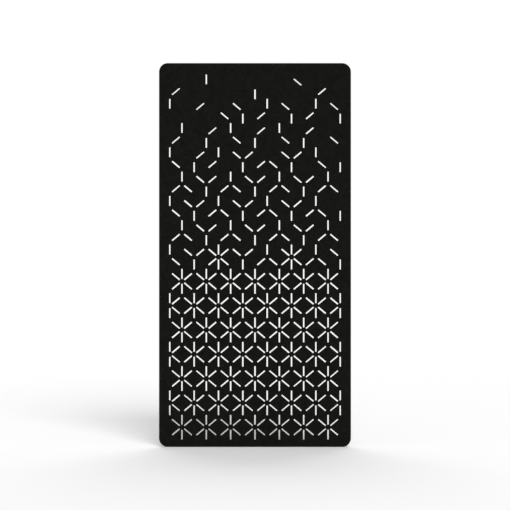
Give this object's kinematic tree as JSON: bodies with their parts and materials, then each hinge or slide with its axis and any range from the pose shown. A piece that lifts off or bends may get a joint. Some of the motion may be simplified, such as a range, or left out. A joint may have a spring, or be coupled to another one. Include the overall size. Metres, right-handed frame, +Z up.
{
  "type": "hanging acoustic screen",
  "caption": "Tall black felt board with rounded corners, cut through with a lattice of short slots, hung by sliding wire grippers in a rail hidden in its top edge.",
  "frame": {"origin": "the middle of the board's top edge, on the line that the hanging wires pull from", "axes": "+X along the board to the viewer's right, front face along -Y, +Z up"},
  "size_m": [1.2, 0.024, 2.4],
  "materials": {
    "black_felt": "matte",
    "black_anodised": "satin",
    "black_plastic": "matte",
    "zinc_steel": "satin",
    "nickel_brass": "satin",
    "hard_steel": "satin",
    "spring_steel": "satin",
    "bare_brass": "satin"
  },
  "bodies": {
    "screen": {"felt_board": "black_felt", "hanging_rail": "black_anodised", "left_rail_plug": "black_plastic", "right_rail_plug": "black_plastic"},
    "left_hanger": {"left_plate_washer": "zinc_steel"},
    "left_gripper": {"left_gripper_body": "nickel_brass", "left_closing_plug": "bare_brass", "left_release_spring": "spring_steel"},
    "left_release": {"left_release_sleeve": "nickel_brass", "left_clamping_jaws": "hard_steel", "left_pressure_ring": "hard_steel"},
    "left_nut": {"left_slide_nut": "zinc_steel"},
    "right_hanger": {"right_plate_washer": "zinc_steel"},
    "right_gripper": {"right_gripper_body": "nickel_brass", "right_closing_plug": "bare_brass", "right_release_spring": "spring_steel"},
    "right_release": {"right_release_sleeve": "nickel_brass", "right_clamping_jaws": "hard_steel", "right_pressure_ring": "hard_steel"},
    "right_nut": {"right_slide_nut": "zinc_steel"}
  },
  "joints": [
    {"name": "left_hanger_slide", "type": "slide", "parent": "screen", "child": "left_hanger", "axis": [1, 0, 0], "range_m": [-0.1577, 0.3397]},
    {"name": "left_gripper_turn", "type": "hinge", "parent": "left_hanger", "child": "left_gripper", "pos_m": [-0.35, 0, -0.0115], "axis": [0, 0, 1], "range_deg": [0, 360]},
    {"name": "left_nut_drop", "type": "slide", "parent": "left_hanger", "child": "left_nut", "axis": [0, 0, -1], "range_m": [0, 0.001]},
    {"name": "left_release_press", "type": "slide", "parent": "left_gripper", "child": "left_release", "axis": [0, 0, -1], "range_m": [0, 0.003], "stiffness_N_per_m": 2000, "springref_m": -0.002, "deforming": ["left_release_spring"]},
    {"name": "right_hanger_slide", "type": "slide", "parent": "screen", "child": "right_hanger", "axis": [1, 0, 0], "range_m": [-0.3397, 0.1577]},
    {"name": "right_gripper_turn", "type": "hinge", "parent": "right_hanger", "child": "right_gripper", "pos_m": [0.35, 0, -0.0115], "axis": [0, 0, 1], "range_deg": [0, 360]},
    {"name": "right_nut_drop", "type": "slide", "parent": "right_hanger", "child": "right_nut", "axis": [0, 0, -1], "range_m": [0, 0.001]},
    {"name": "right_release_press", "type": "slide", "parent": "right_gripper", "child": "right_release", "axis": [0, 0, -1], "range_m": [0, 0.003], "stiffness_N_per_m": 2000, "springref_m": -0.002, "deforming": ["right_release_spring"]}
  ],
  "couplings": [
    {"joint": "left_gripper_turn", "follows": "left_nut_drop", "rad_per_m": 6283.2},
    {"joint": "right_gripper_turn", "follows": "right_nut_drop", "rad_per_m": 6283.2}
  ]
}
